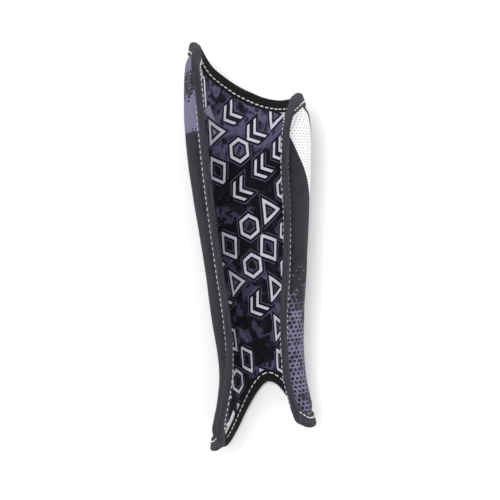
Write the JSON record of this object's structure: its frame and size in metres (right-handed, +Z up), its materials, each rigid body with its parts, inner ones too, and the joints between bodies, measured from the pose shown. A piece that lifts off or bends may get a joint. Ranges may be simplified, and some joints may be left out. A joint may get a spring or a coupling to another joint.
{
  "type": "field hockey shin guard",
  "caption": "Padded shin guard that curls round the shin and flares over the ankle, with a printed cover and lining, taped edges and an arch over the instep.",
  "frame": {"origin": "middle of the guard's footprint, on the surface that it lies on", "axes": "+Z up out of the hollow, +Y along the leg towards the calf, +X towards the short wing"},
  "size_m": [0.0948, 0.3092, 0.0939],
  "materials": {
    "printed_knit": "printed knit, matte",
    "printed_lining": "printed brushed knit, soft sheen",
    "charcoal_tape": "woven stretch tape, soft sheen",
    "black_tape": "woven stretch tape, matte"
  },
  "bodies": {
    "root": {"outer_cover": "printed_knit", "lining": "printed_lining", "side_binding_left": "charcoal_tape", "side_binding_right": "charcoal_tape", "top_binding": "black_tape", "instep_binding": "black_tape"}
  },
  "joints": []
}
